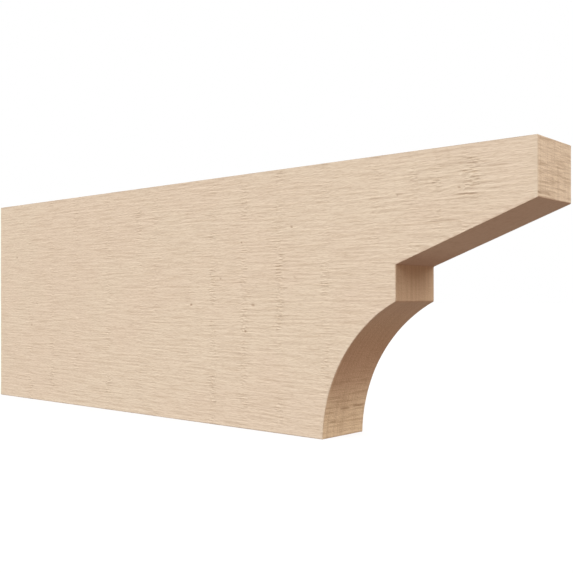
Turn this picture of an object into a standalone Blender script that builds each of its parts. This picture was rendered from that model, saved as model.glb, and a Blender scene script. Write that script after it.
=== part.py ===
"""Rafter tail: one solid sawn timber.

It is cut square at the back, where it meets the building. At the front a tapered tail ends in a
plumb nose, and below it an upright notch leads into a cove that sweeps down to the flat underside.

Metres, +Z up, +X from the square back end towards the nose. The origin is in the middle of the
bounding box of the underside, so the timber stands on the plane z = 0.
"""

import math

import bpy
from mathutils import Vector

INCH = 0.0254

# The timber's section and length
LENGTH = 48 * INCH
HEIGHT = 16 * INCH
WIDTH = 4 * INCH

# The tail reaches forward of the notch and tapers to the nose
TAIL_LENGTH = 8 * INCH
NOSE_HEIGHT = 3 * INCH
TAIL_ROOT_HEIGHT = 6 * INCH

# The upright face under the tail's root, and the cove below it, whose depth is square to its chord
NOTCH_DROP = 2 * INCH
COVE_RUN = 5 * INCH
COVE_DEPTH = 1.3125 * INCH
COVE_STEPS = 48

# Sawn corners lose their sharp arris in handling
ARRIS = 0.0012
ARRIS_STEPS = 2
ARRIS_ANGLE = math.radians(30)
WELD_DISTANCE = 0.00001

WOOD_COLOUR = (0.62, 0.475, 0.345, 1.0)
WOOD_ROUGHNESS = 0.85


def clear_scene():
    for obj in list(bpy.data.objects):
        bpy.data.objects.remove(obj, do_unlink=True)


def arc_into_timber(start, end, depth, steps):
    """Points after start, up to end, on an arc that bows depth away from its chord, to the left."""
    chord = end - start
    half_chord = chord.length / 2
    radius = (half_chord**2 + depth**2) / (2 * depth)
    outward = Vector((chord.y, -chord.x)).normalized()
    centre = (start + end) / 2 + outward * (radius - depth)
    first = start - centre
    turn = -2 * math.asin(half_chord / radius)
    points = []
    for step in range(1, steps + 1):
        angle = turn * step / steps
        cos, sin = math.cos(angle), math.sin(angle)
        points.append(centre + Vector((cos * first.x - sin * first.y, sin * first.x + cos * first.y)))
    return points


def side_outline():
    """The side view as (along, up) points, counter-clockwise from the back of the underside."""
    back = -LENGTH / 2
    tip = LENGTH / 2
    notch = tip - TAIL_LENGTH
    notch_top = HEIGHT - TAIL_ROOT_HEIGHT
    notch_foot = Vector((notch, notch_top - NOTCH_DROP))
    cove_foot = Vector((notch - COVE_RUN, 0.0))
    outline = [Vector((back, 0.0)), cove_foot]
    outline += arc_into_timber(cove_foot, notch_foot, COVE_DEPTH, COVE_STEPS)
    outline += [
        Vector((notch, notch_top)),
        Vector((tip, HEIGHT - NOSE_HEIGHT)),
        Vector((tip, HEIGHT)),
        Vector((back, HEIGHT)),
    ]
    return outline


def wood_material():
    material = bpy.data.materials.new("sawn_softwood")
    material.use_nodes = True
    shader = material.node_tree.nodes["Principled BSDF"]
    shader.inputs["Base Color"].default_value = WOOD_COLOUR
    shader.inputs["Roughness"].default_value = WOOD_ROUGHNESS
    shader.inputs["Metallic"].default_value = 0.0
    return material


def sawn_timber(name, outline, width, material):
    """A flat outline given its thickness along Y, with every sawn corner eased."""
    curve = bpy.data.curves.new(name, "CURVE")
    curve.dimensions = "2D"
    curve.fill_mode = "BOTH"
    curve.extrude = width / 2
    curve.materials.append(material)
    spline = curve.splines.new("POLY")
    spline.points.add(len(outline) - 1)
    for point, place in zip(spline.points, outline):
        point.co = (place.x, place.y, 0.0, 1.0)
    spline.use_cyclic_u = True

    timber = bpy.data.objects.new(name, curve)
    timber.rotation_euler = (math.pi / 2, 0.0, 0.0)
    closing = timber.modifiers.new("Close the sides", "WELD")
    closing.merge_threshold = WELD_DISTANCE
    easing = timber.modifiers.new("Ease the corners", "BEVEL")
    easing.width = ARRIS
    easing.segments = ARRIS_STEPS
    easing.limit_method = "ANGLE"
    easing.angle_limit = ARRIS_ANGLE
    return timber


def main():
    clear_scene()
    collection = bpy.data.collections.new("rafter_tail")
    bpy.context.scene.collection.children.link(collection)
    timber = sawn_timber("rafter_tail", side_outline(), WIDTH, wood_material())
    collection.objects.link(timber)


main()
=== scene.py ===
"""Looks of the rafter tail: a rough-sawn timber, seen level from in front of its nose.

The piece starts as a copy of the solid. Its faces are cut into fine cells, and each point then sinks
below the true face by the depth that the saw left, so the piece never leaves the solid's box.
All lengths are in metres.
"""

import math
from typing import NamedTuple

import bmesh
import bpy
import numpy as np
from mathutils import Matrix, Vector
from mathutils.kdtree import KDTree


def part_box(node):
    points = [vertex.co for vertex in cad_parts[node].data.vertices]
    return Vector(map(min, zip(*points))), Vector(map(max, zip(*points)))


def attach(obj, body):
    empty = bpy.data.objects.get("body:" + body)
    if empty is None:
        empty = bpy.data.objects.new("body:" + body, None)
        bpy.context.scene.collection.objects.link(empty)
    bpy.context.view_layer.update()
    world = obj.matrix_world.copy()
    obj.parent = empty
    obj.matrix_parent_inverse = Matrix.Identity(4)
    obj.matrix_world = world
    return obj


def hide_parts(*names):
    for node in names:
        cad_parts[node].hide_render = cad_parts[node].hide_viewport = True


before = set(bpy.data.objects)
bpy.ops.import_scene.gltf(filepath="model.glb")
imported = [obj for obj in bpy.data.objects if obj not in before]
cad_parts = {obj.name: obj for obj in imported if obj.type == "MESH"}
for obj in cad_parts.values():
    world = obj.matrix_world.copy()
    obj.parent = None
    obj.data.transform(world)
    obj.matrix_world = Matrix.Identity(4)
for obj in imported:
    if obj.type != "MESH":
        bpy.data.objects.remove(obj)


class Field(NamedTuple):
    """Smooth noise on a plane: the length and height of its cells, its seed, its level and its swing."""
    long: float
    high: float
    seed: int
    level: float = 0.0
    swing: float = 1.0

    def at(self, u, v, side=0):
        """The field's value, within about a swing of its level. Each side has its own pattern."""
        return self.level + self.swing * noise(u / self.long, v / self.high, self.seed + side)


class Grain(NamedTuple):
    """Noise in the wood: its cells to a metre along X, Y and Z, and how fine, rough and bent it is."""
    scale: tuple
    detail: float = 3.0
    rough: float = 0.55
    bend: float = 0.0


X, Y, Z = range(3)
NEAR, FAR = -1, 1
SIDES = (NEAR, FAR)
NODE = "rafter_tail"

# How high the notch begins, and how far the tail reaches past it, as shares of the timber's height
NOTCH_FOOT = 0.5
TAIL_REACH = 0.5

# Points closer than WELD become one point, and faces that turn less than FLAT_ANGLE become one face.
# Faces that meet at SHARP_ANGLE or more keep a sharp edge between them
WELD = 0.00001
FLAT_ANGLE = math.radians(0.05)
SHARP_ANGLE = math.radians(15)

# How much of a normal or an edge has to lie along an axis to count as running along it, how far the
# normals of the rim may lean toward a side, and how far backward those of the back end point
ALIGNED = 0.99
RIM_LEAN = 0.1
BACK_LEAN = 0.9

# The cells of the fine mesh start behind the solid's eased corners, which are ARRIS broad. Rows lie one
# above another, columns stand side by side along the timber, and lines side by side across it
ARRIS = 0.0012
ROW = {NEAR: 0.00155, FAR: 0.0019}
COLUMN = 0.014
BAND_COLUMN = {NEAR: 0.0034, FAR: 0.006}
PIT_CELLS = 7
RIM_ROW = 0.0021
RIM_LINE = 0.0036
BACK_ROW = 0.006
BACK_LINE = 0.006
MOST_CORNERS = 4

# Smooth noise: the size of its table of slopes, and what brings it to about -1 to 1
NOISE_CELLS = 512
NOISE_GAIN = 1.6

# The saw tore the near side in upright bands. Each has its middle, its breadth, how strong it is all the
# way up, and the runs from one height to another where it is strongest.
# The far side has the same bands a little farther back
BANDS = (
    (-0.493, 0.018, 0.55, ((0.020, 0.060),)),
    (-0.414, 0.018, 0.55, ((0.030, 0.065),)),
    (-0.333, 0.018, 0.45, ()),
    (-0.231, 0.018, 0.55, ((0.030, 0.068),)),
    (-0.141, 0.018, 0.35, ((0.325, 0.370),)),
    (-0.097, 0.018, 0.40, ()),
    (-0.010, 0.018, 0.30, ()),
    (0.049, 0.018, 0.70, ((0.033, 0.083), (0.200, 0.260))),
    (0.120, 0.018, 0.65, ((0.033, 0.058), (0.154, 0.177))),
    (0.195, 0.018, 0.55, ((0.033, 0.049), (0.159, 0.288))),
    (0.283, 0.018, 0.60, ((0.214, 0.253),)),
    (0.371, 0.018, 0.40, ((0.378, 0.392),)),
    (0.435, 0.018, 0.35, ((0.362, 0.381),)),
    (0.470, 0.018, 0.45, ((0.321, 0.335), (0.350, 0.369))),
    (0.520, 0.028, 0.50, ((0.348, 0.392),)),
)
FAR_SHIFT = -0.034
RUN_STRENGTH = 0.85
RUN_END = 0.008
BAND_EDGE = 0.004
BAND_DEPTH = 0.0013
TORN_ENOUGH = 0.14
TORN_SHADE = 0.03

# How the bands bend, how they come and go, and the dashes that they are made of. The bend and the amount
# run up the height, with a row of cells for each band
BAND_BEND = Field(0.018, 1.0, 31)
BAND_BEND_REACH = 0.004
BAND_AMOUNT = Field(0.028, 1.0, 33, 0.6, 0.9)
BAND_PATCHES = Field(0.011, 0.009, 35, 0.75, 0.9)
DASHES = Field(0.0064, 0.0025, 41, 0.5, 1.1)

# Grain ridges of the sides, and how far they drift and wave up and down
RIDGES = Field(0.060, 0.0034, 7, 0.5, 0.8)
RIDGE_DEPTH = 0.00030
FINE_RIDGES = Field(0.026, 0.0026, 17, 0.5, 0.8)
FINE_DEPTH = 0.00024
DRIFT = Field(0.16, 0.09, 3)
DRIFT_REACH = 0.0016
WAVE = Field(0.040, 0.024, 5)
WAVE_REACH = 0.0004
GROOVE_SHADE = 0.20

# Relief of the faces between the sides: long grain on the level ones, end grain on those that cut across
# the timber, and the saw's strokes on all of them
LONG_GRAIN = Field(0.060, 0.0036, 51, 0.5, 0.5)
END_GRAIN = Field(0.030, 0.0046, 52, 0.5, 0.5)
END_DEPTH = 0.00022
END_BEND = Field(0.022, 0.030, 50)
END_BEND_REACH = 0.0025
STROKES = Field(0.012, 0.060, 53, 0.5, 0.5)
STROKE_DEPTH = 0.00012

# Small dark holes in the near side: their places along it and up it, and their radii. Each is longer
# along the grain, and its slope starts a little outside its radius
PITS = (
    (-0.545, 0.295, 0.0018),
    (-0.489, 0.153, 0.0018),
    (-0.470, 0.198, 0.0015),
    (-0.321, 0.100, 0.0015),
    (-0.004, 0.197, 0.0021),
    (0.067, 0.240, 0.0015),
    (0.114, 0.297, 0.0013),
    (0.122, 0.155, 0.0018),
    (0.139, 0.197, 0.0025),
    (0.219, 0.316, 0.0015),
    (0.225, 0.240, 0.0010),
    (0.409, 0.349, 0.0015),
    (0.503, 0.351, 0.0014),
)
PIT_STRETCH = 1.5
PIT_SLOPE_START = 1.35
PIT_DEPTH = 0.0013
PIT_SHADE = 0.75

# Fine level cracks: on the sides from one place to another along the timber, and on the nose and the
# cove from one place to another across it. The last number is the height
SIDE_CRACKS = (
    (0.468, 0.533, 0.3810),
    (0.533, 0.579, 0.3740),
    (0.490, 0.533, 0.3415),
    (0.440, 0.500, 0.3090),
)
END_CRACKS = (
    (-0.060, -0.010, 0.3360),
    (0.014, 0.050, 0.0430),
    (-0.018, 0.014, 0.0415),
    (-0.040, -0.016, 0.0225),
)
SIDE_CRACK_HALF = 0.0016
END_CRACK_HALF = 0.0024
CRACK_DEPTH = 0.0006
CRACK_SHADE = 0.5
CRACK_END = 0.010
CRACK_WANDER = Field(0.016, 1.0, 71)
CRACK_WANDER_REACH = 0.0012

# Along the sawn corners: uneven wear, and how far in the relief grows to its full depth
WEAR = Field(0.035, 0.035, 61, 0.5, 1.0)
WEAR_DEPTH = 0.00015
CORNER_ENOUGH = 0.1
CORNER_SPREAD = 2
CALM_REACH = 0.005
CALM_SHARE = 0.75

# How far a normal has to lean some way before a look begins, and over how much more it comes in full
END_RELIEF_LEAN = (0.2, 0.5)
END_GRAIN_LEAN = (0.15, 0.5)
STREAK_LEAN = (0.86, 0.1)
INNER_LEAN = (0.45, 0.4)
UNDER_LEAN = (0.08, 0.44)
LEVEL_LEAN = (0.5, 0.4)
TOP_LEAN = (0.2, 0.3)
FACING = 0.5

# How much less painted shade a level underside gets, how much the notch gets, and how much the tail's root
# gets as far as ROOT_REACH from the notch, and how much fainter the cove's streaks are
LEVEL_SHADE_CUT = 0.75
NOTCH_PAINTED_SHADE = 0.52
ROOT_PAINTED_SHADE = 0.55
ROOT_REACH = 0.07
COVE_CALM = 0.20

# Colours of the wood. The last three are painted shade: a warm one on the notch and the cove, one on the
# undersides and in the notch, and a darker one on the top, where the lamps fall strongest
SIDE_LIGHT = (0.798, 0.696, 0.549, 1.0)
SIDE_DARK = (0.646, 0.529, 0.389, 1.0)
SIDE_PINK = (0.793, 0.681, 0.538, 1.0)
END_LIGHT = (0.785, 0.640, 0.466, 1.0)
END_DARK = (0.440, 0.300, 0.185, 1.0)
# Colour of the recesses: partly dust, partly painted shade
RECESS_DUST_AND_SHADE = (0.330, 0.210, 0.125, 1.0)
# Warm painted shade on the notch and the cove
INNER_PAINTED_SHADE = (0.985, 0.935, 0.845, 1.0)
# Painted shade on the undersides, at the tail's root and in the notch
PAINTED_SHADE_COLOUR = (0.765, 0.670, 0.650, 1.0)
# Painted shade on the top, which the lamps light more strongly than the sides
TOP_PAINTED_SHADE = (0.740, 0.720, 0.700, 1.0)

# Noise in the wood, and how it stains: where in the noise a colour begins, where it comes in full, and
# its share there
RING_GRAIN = Grain((14.0, 40.0, 300.0), detail=4.0, rough=0.6, bend=0.04)
RING_STAIN = (0.48, 0.70, 0.50)
FIBRE_GRAIN = Grain((120.0, 420.0, 480.0))
FIBRE_STAIN = (0.46, 0.70, 0.50)
TEAR_GRAIN = Grain((140.0, 200.0, 350.0), detail=2.0)
TEAR_STAIN = (0.50, 0.68, 0.60)
STREAK_GRAIN = Grain((9.0, 20.0, 400.0), rough=0.6, bend=0.08)
STREAK_STAIN = (0.42, 0.66, 0.58)
STROKE_GRAIN = Grain((9.0, 260.0, 12.0), detail=2.0)
STROKE_STAIN = (0.45, 0.65, 0.20)
BLOTCH_GRAIN = Grain((5.0, 9.0, 9.0), detail=2.0)
BLOTCH_STAIN = (0.42, 0.62, 1.0)
# Share of dirt and painted shade on the sawn corners, where the arris would catch the light
CORNER_DIRT_AND_SHADE_SHARE = 0.60
# Share of dust and painted shade in the recesses
DUST_AND_SHADE_SHARE = 0.75

# Surface of the wood
ROUGHNESS = 0.86
SPECULAR_LEVEL = 0.25
BUMP_STRENGTH = 0.8
BUMP_DISTANCE = 0.0008
TEAR_HEIGHT = 3.5

# Where a mix node has its two colours and its result
FIRST_COLOUR, SECOND_COLOUR, MIXED_COLOUR = 6, 7, 2

# The camera stands level at about half the timber's height, in front of the nose
CAMERA_PLACE = (1.0424, -1.0227, 0.2050)
CAMERA_TURN = math.radians(41.768)
CAMERA_LENS = 52.685
CAMERA_SHIFT = (0.030, 0.0241)

# Light in the studio: a dim warm room that grows brighter high up, and wide lamps far away.
# Each lamp has the turn of its side from +X, its height above the level, its breadth and its strength
ROOM = (0.347, 0.253, 0.212, 1.0)
CEILING = (0.700, 0.700, 0.700, 1.0)
ROOM_TOP, CEILING_FOOT = 0.25, 0.75
BACKDROP = (1.0, 1.0, 1.0, 1.0)
LAMPS = {
    "key": (-100.0, 30.0, 36.0, 1.82),
    "near_end_lamp": (-38.0, 33.0, 24.0, 0.40),
    "end_lamp": (8.0, 33.0, 24.0, 0.75),
    "far_end_lamp": (52.0, 33.0, 24.0, 0.40),
    "high_lamp": (8.0, 55.0, 30.0, 0.70),
    "back_lamp": (135.0, 20.0, 36.0, 0.90),
}

# Half the floor's breadth, and the share of its brightness that a shadow can take away
FLOOR_REACH = 40.0
FLOOR_SHADE = 0.18


def fade(t):
    """Eases from 0 to 1 with no corner at either end."""
    t = np.clip(t, 0.0, 1.0)
    return t * t * t * (t * (6 * t - 15) + 10)


def rise(value, start, reach):
    """0 as far as start, then easing to 1 over the reach."""
    return fade((value - start) / reach)


def noise(u, v, seed):
    """Gradient noise on a plane, about -1 to 1, with one cell to a unit."""
    turn = np.random.default_rng(seed).uniform(0, 2 * math.pi, (NOISE_CELLS, NOISE_CELLS))
    u0, v0 = np.floor(u).astype(int), np.floor(v).astype(int)
    total = np.zeros_like(u)
    for du in (0, 1):
        for dv in (0, 1):
            slope = turn[(u0 + du) % NOISE_CELLS, (v0 + dv) % NOISE_CELLS]
            x, y = u - u0 - du, v - v0 - dv
            total += fade(1 - abs(x)) * fade(1 - abs(y)) * (np.cos(slope) * x + np.sin(slope) * y)
    return NOISE_GAIN * total


def row_middle(number, like):
    """The middle of one row of a field's cells, as often as like has places."""
    return np.full_like(like, number + 0.5)


def evenly(low, high, step):
    """Places from low to high, about a step apart."""
    return list(np.linspace(low, high, max(2, round((high - low) / step) + 1)))


def shift(side):
    """How far the marks of one side lie from those of the near side."""
    return FAR_SHIFT if side == FAR else 0.0


def pits(side):
    """Centres and radii of the small holes on one side, as rows of x, z and radius."""
    return [(x + shift(side), z, radius) for x, z, radius in PITS]


def band_strength(x, z, side):
    """How strongly the saw tore the wood, from 0 to 1. It comes and goes along the height of each band."""
    total = np.zeros_like(x)
    for number, (middle, breadth, strength, runs) in enumerate(BANDS):
        middle += shift(side)
        close = abs(x - middle) < breadth
        px, pz = x[close], z[close]
        row = row_middle(number, pz)
        bend = BAND_BEND_REACH * BAND_BEND.at(pz, row, side)
        inside = fade((breadth / 2 - abs(px - middle - bend)) / BAND_EDGE)
        amount = strength * fade(BAND_AMOUNT.at(pz, row, side))
        for bottom, top in runs:
            along_run = fade((pz - bottom) / RUN_END + 0.5) * fade((top - pz) / RUN_END + 0.5)
            amount = np.maximum(amount, RUN_STRENGTH * along_run)
        patchy = fade(BAND_PATCHES.at(px, pz, side))
        total[close] = np.maximum(total[close], inside * amount * patchy)
    return total


def pit_relief(x, z, side):
    """1 in the middle of a small hole, 0 outside it."""
    total = np.zeros_like(x)
    for px, pz, radius in pits(side):
        radii_away = np.hypot((x - px) / PIT_STRETCH, z - pz) / radius
        total = np.maximum(total, fade(PIT_SLOPE_START - radii_away))
    return total


def crack_relief(along, z, cracks, half):
    """1 on the line of a level crack, 0 beside it. Each crack wanders a little and thins out at its ends."""
    total = np.zeros_like(z)
    for number, (start, end, height) in enumerate(cracks):
        line = height + CRACK_WANDER_REACH * CRACK_WANDER.at(along, row_middle(number, z))
        ends = fade((along - start) / CRACK_END) * fade((end - along) / CRACK_END)
        total = np.maximum(total, ends * fade(1 - abs(z - line) / half))
    return total


def side_relief(x, z, side):
    """How deep the surface of a side lies, how much dust and painted shade darken its recesses, and how torn
    it is.
    """
    drifted = z + DRIFT_REACH * DRIFT.at(x, z, side)
    drifted += WAVE_REACH * WAVE.at(x, z, side)
    ridges = fade(RIDGES.at(x, drifted, side))
    fine = fade(FINE_RIDGES.at(x, drifted, side))
    strength = band_strength(x, z, side)
    torn = strength * fade(DASHES.at(x, z, side))
    pit = pit_relief(x, z, side)
    crack = crack_relief(x - shift(side), z, SIDE_CRACKS, SIDE_CRACK_HALF)
    depth = RIDGE_DEPTH * ridges + FINE_DEPTH * fine + BAND_DEPTH * torn
    depth += PIT_DEPTH * pit + CRACK_DEPTH * crack
    dust_and_shade = np.maximum(PIT_SHADE * pit, CRACK_SHADE * crack) + GROOVE_SHADE * (1 - pit) * ridges * fine
    return depth, dust_and_shade + TORN_SHADE * (1 - pit) * torn, strength


def rim_relief(x, y, z, normal):
    """How deep the surface of the top, underside, ends, notch and cove lies, and how much dust and painted
    shade darken its cracks.
    """
    run = x + z + END_BEND_REACH * END_BEND.at(y, x + z)
    long_grain = RIDGE_DEPTH * LONG_GRAIN.at(x, y)
    end_grain = END_DEPTH * END_GRAIN.at(y, run)
    stroke = STROKE_DEPTH * STROKES.at(y, run)
    end = rise(abs(normal[:, X]), *END_RELIEF_LEAN)
    crack = end * (normal[:, X] > 0) * crack_relief(y, z, END_CRACKS, END_CRACK_HALF)
    return end * end_grain + (1 - end) * long_grain + stroke + CRACK_DEPTH * crack, crack


def relief(places, normals, side_share):
    """How deep, how much darkened by dust and painted shade, and how torn every point is: sides and rim are
    blended where they meet.
    """
    x, y, z = places.T
    depth = np.zeros(len(places))
    dust_and_shade = np.zeros(len(places))
    torn = np.zeros(len(places))
    for side in SIDES:
        facing = side_share * (np.sign(normals[:, Y]) == side)
        sunk, marks, strength = side_relief(x, z, side)
        depth += facing * sunk
        dust_and_shade += facing * marks
        torn += facing * strength
    sunk, marks = rim_relief(x, y, z, normals)
    depth += (1 - side_share) * sunk
    dust_and_shade += (1 - side_share) * marks
    return depth, dust_and_shade, torn


def cut_faces(edit, faces, axis, places):
    """Cuts the faces by planes across an axis, and returns the faces that they became.

    The middle plane comes first, and then each half of the faces meets its half of the planes.
    """
    if not faces or not places:
        return faces
    middle = len(places) // 2
    place = places[middle]
    parts = list({part for face in faces for part in (face, *face.edges, *face.verts)})
    normal = Vector()
    normal[axis] = 1.0
    done = bmesh.ops.bisect_plane(edit, geom=parts, dist=WELD, plane_co=normal * place, plane_no=normal)
    faces = [part for part in done["geom"] if isinstance(part, bmesh.types.BMFace)]
    below = [face for face in faces if face.calc_center_median()[axis] < place]
    above = [face for face in faces if face.calc_center_median()[axis] >= place]
    return cut_faces(edit, below, axis, places[:middle]) + cut_faces(edit, above, axis, places[middle + 1:])


def upright_cuts(low, high, side):
    """Places of the upright cuts in one side: close together in the torn bands, far apart elsewhere."""
    places = []
    start = low.x + ARRIS
    for middle, breadth, _, _ in BANDS:
        left = middle + shift(side) - breadth / 2
        places += evenly(start, left, COLUMN)[:-1]
        start = left + breadth
        places += evenly(left, start, BAND_COLUMN[side])[:-1]
    return places + evenly(start, high.x - ARRIS, COLUMN)


def side_cells(edit, side):
    """The cells of one side, and their centres."""
    cells = [face for face in edit.faces if face.normal.y * side > ALIGNED]
    return cells, np.array([cell.calc_center_median() for cell in cells])


def edges_along(cells, chosen, axis):
    """The edges of the chosen cells that run along an axis."""
    found = set()
    for number in np.flatnonzero(chosen):
        for edge in cells[number].edges:
            along = edge.verts[0].co - edge.verts[1].co
            if abs(along[axis]) > ALIGNED * along.length:
                found.add(edge)
    return found


def divide_marked_cells(edit):
    """Parts the cells of the torn bands into lower ones, and those at the small holes into narrow ones."""
    torn = set()
    for side in SIDES:
        cells, centres = side_cells(edit, side)
        strength = band_strength(centres[:, X], centres[:, Z], side)
        torn |= edges_along(cells, strength > TORN_ENOUGH, Z)
    bmesh.ops.subdivide_edges(edit, edges=list(torn), cuts=1, use_grid_fill=True)

    pitted = set()
    for side in SIDES:
        cells, centres = side_cells(edit, side)
        for x, z, radius in pits(side):
            beside = abs(centres[:, X] - x) < PIT_SLOPE_START * PIT_STRETCH * radius + COLUMN / 2
            level = abs(centres[:, Z] - z) < PIT_SLOPE_START * radius + ROW[side] / 2
            pitted |= edges_along(cells, beside & level, X)
    bmesh.ops.subdivide_edges(edit, edges=list(pitted), cuts=PIT_CELLS - 1, use_grid_fill=True)


def fine_mesh(node, low, high):
    """The solid's own faces, cut into cells. The solid's triangles are first joined into whole faces."""
    edit = bmesh.new()
    edit.from_mesh(node.data)
    bmesh.ops.remove_doubles(edit, verts=edit.verts, dist=WELD)
    bmesh.ops.dissolve_limit(edit, angle_limit=FLAT_ANGLE, verts=edit.verts, edges=edit.edges)

    along, across, up = ((low[axis] + ARRIS, high[axis] - ARRIS) for axis in (X, Y, Z))
    rim = [face for face in edit.faces if abs(face.normal.y) <= RIM_LEAN]
    back = [face for face in rim if face.normal.x < -BACK_LEAN]
    front = [face for face in rim if face.normal.x >= -BACK_LEAN]
    front = cut_faces(edit, front, X, evenly(*along, COLUMN))
    front = cut_faces(edit, front, Z, evenly(*up, RIM_ROW))
    cut_faces(edit, front, Y, evenly(*across, RIM_LINE))
    back = cut_faces(edit, back, Z, evenly(*up, BACK_ROW))
    cut_faces(edit, back, Y, evenly(*across, BACK_LINE))
    for side in SIDES:
        faces = [face for face in edit.faces if face.normal.y * side > RIM_LEAN]
        faces = cut_faces(edit, faces, X, upright_cuts(low, high, side))
        cut_faces(edit, faces, Z, evenly(*up, ROW[side]))
    divide_marked_cells(edit)
    bmesh.ops.triangulate(edit, faces=[face for face in edit.faces if len(face.verts) > MOST_CORNERS])
    return edit


def corner_distance(places, is_corner):
    """How far each point lies from the nearest point on a sawn corner."""
    tree = KDTree(int(is_corner.sum()))
    for number in np.flatnonzero(is_corner):
        tree.insert(places[number], int(number))
    tree.balance()
    return np.array([tree.find(place)[2] for place in places])


def looks_by_lean(places, normals, side_share, low, high):
    """Values for the material, each from 0 to 1, that follow from a point's place and the way it faces."""
    x, _, z = places.T
    height = high.z - low.z
    steep = abs(normals[:, X])
    downward = -normals[:, Z]
    behind_nose = x < high.x - ARRIS
    above_cove = (z > low.z + NOTCH_FOOT * height) & (x > low.x + ARRIS) & behind_nose
    past_notch = x - (high.x - TAIL_REACH * height)

    # Painted shade on the undersides, at the tail's root and in the notch
    painted_shade = rise(downward, *UNDER_LEAN) * (1 - LEVEL_SHADE_CUT * rise(downward, *LEVEL_LEAN))
    painted_shade += ROOT_PAINTED_SHADE * fade(1 - past_notch / ROOT_REACH) * above_cove * (downward > FACING)
    painted_shade = np.maximum(painted_shade, np.where(above_cove & (steep > FACING), NOTCH_PAINTED_SHADE, 0.0))
    # Warm painted shade on the notch and the cove, which face the nose under the tail
    inner_painted_shade = rise(normals[:, X], *INNER_LEAN) * behind_nose
    return {
        "end_grain": (1 - side_share) * rise(steep, *END_GRAIN_LEAN),
        "streaked": np.where(above_cove, 0.0, rise(steep, *STREAK_LEAN)) * (1 - COVE_CALM * inner_painted_shade),
        "painted_shade": (1 - side_share) * painted_shade,
        "inner_painted_shade": (1 - side_share) * inner_painted_shade,
        # Painted shade on the top, which the lamps light more strongly than the sides
        "top": rise(normals[:, Z], *TOP_LEAN),
    }


def sink_surface(edit, low, high):
    """Lowers every point below the true face, and returns the values that the material reads there."""
    edit.verts.ensure_lookup_table()
    edit.normal_update()
    for edge in edit.edges:
        edge.tag = edge.calc_face_angle() < SHARP_ANGLE
    places = np.array([vert.co for vert in edit.verts])
    normals = np.array([vert.normal for vert in edit.verts])
    x, y, z = places.T
    side_share = normals[:, Y] ** 2
    depth, dust_and_shade, torn = relief(places, normals, side_share)

    # 1 where a normal points halfway between a side and the rim, and 0 where it points either way
    corner = 4 * side_share * (1 - side_share)
    calm = fade(corner_distance(places, corner > CORNER_ENOUGH) / CALM_REACH)
    depth *= 1 - CALM_SHARE * (1 - calm)
    depth += corner * WEAR_DEPTH * fade(WEAR.at(x + z, y + x))
    for vert, move in zip(edit.verts, normals * depth[:, None]):
        vert.co -= Vector(move)
    looks = {"dust_and_shade": dust_and_shade, "torn": torn, "corner": fade(CORNER_SPREAD * corner)}
    return looks | looks_by_lean(places, normals, side_share, low, high)


def sawn_piece(node):
    """The whole timber as one fine mesh, with the values for its material at its points."""
    low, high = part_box(NODE)
    edit = fine_mesh(node, low, high)
    point_values = sink_surface(edit, low, high)
    for face in edit.faces:
        face.smooth = True
    for edge in edit.edges:
        edge.smooth = edge.tag
    mesh = bpy.data.meshes.new("sawn_timber")
    edit.to_mesh(mesh)
    edit.free()
    for name, values in point_values.items():
        attribute = mesh.attributes.new(name, "FLOAT", "POINT")
        attribute.data.foreach_set("value", values.astype(np.float32))
    piece = bpy.data.objects.new("sawn_timber", mesh)
    bpy.context.scene.collection.objects.link(piece)
    return piece


class Nodes:
    """Short names for adding nodes to one tree and joining them."""

    def __init__(self, tree):
        self.tree = tree

    def add(self, kind, **settings):
        node = self.tree.nodes.new(kind)
        for name, value in settings.items():
            setattr(node, name, value)
        return node

    def link(self, source, target):
        self.tree.links.new(source, target)

    def noise(self, place, grain):
        mapping = self.add("ShaderNodeMapping")
        mapping.inputs["Scale"].default_value = grain.scale
        self.link(place, mapping.inputs["Vector"])
        texture = self.add("ShaderNodeTexNoise")
        texture.inputs["Scale"].default_value = 1.0
        texture.inputs["Detail"].default_value = grain.detail
        texture.inputs["Roughness"].default_value = grain.rough
        texture.inputs["Distortion"].default_value = grain.bend
        self.link(mapping.outputs["Vector"], texture.inputs["Vector"])
        return texture.outputs["Fac"]

    def between(self, value, low, high, most=1.0):
        """0 where value is at low or below it, most where it is at high or above, and eased in between."""
        node = self.add("ShaderNodeMapRange", interpolation_type="SMOOTHSTEP")
        for name, number in (("From Min", low), ("From Max", high), ("To Max", most)):
            node.inputs[name].default_value = number
        self.link(value, node.inputs["Value"])
        return node.outputs["Result"]

    def attribute(self, name):
        return self.add("ShaderNodeAttribute", attribute_name=name).outputs["Fac"]

    def mix(self, share, first, second, blend="MIX"):
        """first where share is 0 and second where it is 1. Each is a colour or an output."""
        node = self.add("ShaderNodeMix", data_type="RGBA", blend_type=blend)
        self.link(share, node.inputs["Factor"])
        for place, value in ((FIRST_COLOUR, first), (SECOND_COLOUR, second)):
            if isinstance(value, tuple):
                node.inputs[place].default_value = value
            else:
                self.link(value, node.inputs[place])
        return node.outputs[MIXED_COLOUR]

    def tint(self, share, first, second):
        """first where share is 0, and the product of both where it is 1."""
        return self.mix(share, first, second, "MULTIPLY")

    def math(self, operation, first, second):
        node = self.add("ShaderNodeMath", operation=operation)
        for socket, value in zip(node.inputs, (first, second)):
            if isinstance(value, float):
                socket.default_value = value
            else:
                self.link(value, socket)
        return node.outputs["Value"]


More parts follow.
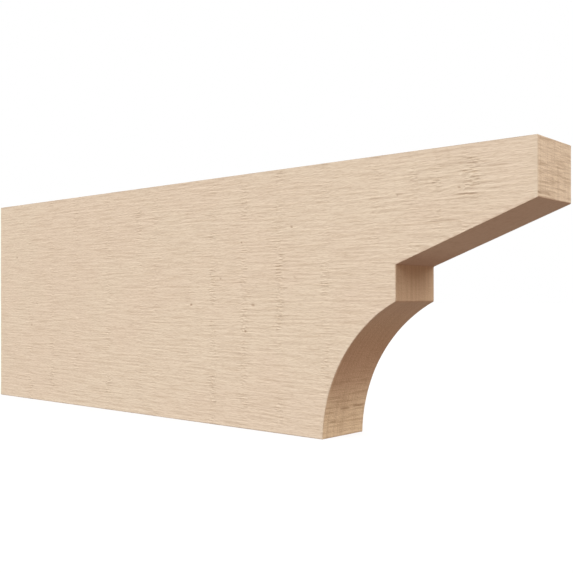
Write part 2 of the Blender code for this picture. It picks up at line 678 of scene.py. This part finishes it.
def sawn_wood():
    """Pale sawn wood: growth rings lie level through the whole stick, so they meet at its corners."""
    material = bpy.data.materials.new("sawn_wood")
    material.use_nodes = True
    nodes = Nodes(material.node_tree)
    shader = material.node_tree.nodes["Principled BSDF"]
    shader.inputs["Roughness"].default_value = ROUGHNESS
    shader.inputs["Specular IOR Level"].default_value = SPECULAR_LEVEL

    place = nodes.add("ShaderNodeTexCoord").outputs["Object"]
    rings = nodes.noise(place, RING_GRAIN)
    fibres = nodes.noise(place, FIBRE_GRAIN)
    tears = nodes.noise(place, TEAR_GRAIN)
    torn = nodes.attribute("torn")

    blotches = nodes.between(nodes.noise(place, BLOTCH_GRAIN), *BLOTCH_STAIN)
    long_colour = nodes.mix(blotches, SIDE_LIGHT, SIDE_PINK)
    long_colour = nodes.mix(nodes.between(rings, *RING_STAIN), long_colour, SIDE_DARK)
    long_colour = nodes.mix(nodes.between(fibres, *FIBRE_STAIN), long_colour, SIDE_DARK)

    strokes = nodes.between(nodes.noise(place, STROKE_GRAIN), *STROKE_STAIN)
    end_colour = nodes.mix(strokes, END_LIGHT, END_DARK)
    streaks = nodes.between(nodes.noise(place, STREAK_GRAIN), *STREAK_STAIN)
    streaks = nodes.math("MULTIPLY", streaks, nodes.attribute("streaked"))
    end_colour = nodes.mix(streaks, end_colour, END_DARK)

    corner_dirt_and_shade = nodes.math("MULTIPLY", nodes.attribute("corner"), CORNER_DIRT_AND_SHADE_SHARE)
    dust_and_shade_share = nodes.math("MULTIPLY", nodes.attribute("dust_and_shade"), DUST_AND_SHADE_SHARE)
    tear_stain = nodes.math("MULTIPLY", torn, nodes.between(tears, *TEAR_STAIN))
    wood = nodes.mix(nodes.attribute("end_grain"), long_colour, end_colour)
    # Dirt and painted shade on the sawn corners
    wood = nodes.mix(corner_dirt_and_shade, wood, SIDE_DARK)
    # Dust and painted shade in the recesses
    wood = nodes.mix(dust_and_shade_share, wood, RECESS_DUST_AND_SHADE)
    wood = nodes.mix(tear_stain, wood, SIDE_DARK)
    # Warm painted shade on the notch and the cove
    wood = nodes.tint(nodes.attribute("inner_painted_shade"), wood, INNER_PAINTED_SHADE)
    # Painted shade on the undersides, at the tail's root and in the notch
    wood = nodes.tint(nodes.attribute("painted_shade"), wood, PAINTED_SHADE_COLOUR)
    # Painted shade on the top
    wood = nodes.tint(nodes.attribute("top"), wood, TOP_PAINTED_SHADE)
    nodes.link(wood, shader.inputs["Base Color"])

    tear_height = nodes.math("MULTIPLY", nodes.math("MULTIPLY", torn, tears), TEAR_HEIGHT)
    height = nodes.math("ADD", nodes.math("ADD", rings, fibres), tear_height)
    bump = nodes.add("ShaderNodeBump")
    bump.inputs["Strength"].default_value = BUMP_STRENGTH
    bump.inputs["Distance"].default_value = BUMP_DISTANCE
    nodes.link(height, bump.inputs["Height"])
    nodes.link(bump.outputs["Normal"], shader.inputs["Normal"])
    return material


def make_camera():
    data = bpy.data.cameras.new("camera")
    data.lens = CAMERA_LENS
    data.shift_x, data.shift_y = CAMERA_SHIFT
    camera = bpy.data.objects.new("camera", data)
    camera.location = CAMERA_PLACE
    camera.rotation_euler = (math.pi / 2, 0.0, CAMERA_TURN)
    bpy.context.scene.collection.objects.link(camera)
    bpy.context.scene.camera = camera


def floor_material():
    material = bpy.data.materials.new("floor")
    material.use_nodes = True
    nodes = Nodes(material.node_tree)
    nodes.tree.nodes.clear()
    output = nodes.add("ShaderNodeOutputMaterial")
    glow = nodes.add("ShaderNodeEmission")
    glow.inputs["Strength"].default_value = 1.0 - FLOOR_SHADE
    matt = nodes.add("ShaderNodeBsdfDiffuse")
    matt.inputs["Color"].default_value = (FLOOR_SHADE,) * 3 + (1.0,)
    both = nodes.add("ShaderNodeAddShader")
    nodes.link(glow.outputs[0], both.inputs[0])
    nodes.link(matt.outputs[0], both.inputs[1])
    nodes.link(both.outputs[0], output.inputs["Surface"])
    return material


def make_floor():
    """A pale floor. It takes a faint shadow, and it throws no light back at the timber."""
    edit = bmesh.new()
    bmesh.ops.create_grid(edit, x_segments=1, y_segments=1, size=FLOOR_REACH)
    mesh = bpy.data.meshes.new("floor")
    edit.to_mesh(mesh)
    edit.free()
    mesh.materials.append(floor_material())
    floor = bpy.data.objects.new("floor", mesh)
    floor.visible_diffuse = False
    floor.visible_glossy = False
    bpy.context.scene.collection.objects.link(floor)


def make_room():
    """A dim warm room with a brighter ceiling. The camera sees a white backdrop in its place."""
    world = bpy.data.worlds.new("studio")
    bpy.context.scene.world = world
    world.use_nodes = True
    nodes = Nodes(world.node_tree)
    nodes.tree.nodes.clear()
    direction = nodes.add("ShaderNodeTexCoord").outputs["Generated"]
    parts = nodes.add("ShaderNodeSeparateXYZ")
    nodes.link(direction, parts.inputs[0])
    upward = nodes.between(parts.outputs["Z"], ROOM_TOP, CEILING_FOOT)
    room = nodes.add("ShaderNodeBackground")
    nodes.link(nodes.mix(upward, ROOM, CEILING), room.inputs["Color"])
    backdrop = nodes.add("ShaderNodeBackground")
    backdrop.inputs["Color"].default_value = BACKDROP
    seen = nodes.add("ShaderNodeLightPath").outputs["Is Camera Ray"]
    both = nodes.add("ShaderNodeMixShader")
    nodes.link(seen, both.inputs["Fac"])
    nodes.link(room.outputs[0], both.inputs[1])
    nodes.link(backdrop.outputs[0], both.inputs[2])
    output = nodes.add("ShaderNodeOutputWorld")
    nodes.link(both.outputs[0], output.inputs["Surface"])


def make_lamps():
    for name, (turn, height, breadth, strength) in LAMPS.items():
        turn, height = math.radians(turn), math.radians(height)
        level = math.cos(height)
        toward = Vector((math.cos(turn) * level, math.sin(turn) * level, math.sin(height)))
        data = bpy.data.lights.new(name, "SUN")
        data.angle = math.radians(breadth)
        data.energy = strength
        lamp = bpy.data.objects.new(name, data)
        lamp.rotation_euler = (-toward).to_track_quat("-Z", "Y").to_euler()
        bpy.context.scene.collection.objects.link(lamp)


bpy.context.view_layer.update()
bpy.context.scene.view_settings.view_transform = "Standard"
make_camera()
make_floor()
make_room()
make_lamps()

timber = sawn_piece(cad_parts[NODE])
timber.data.materials.append(sawn_wood())
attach(timber, "root")
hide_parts(NODE)
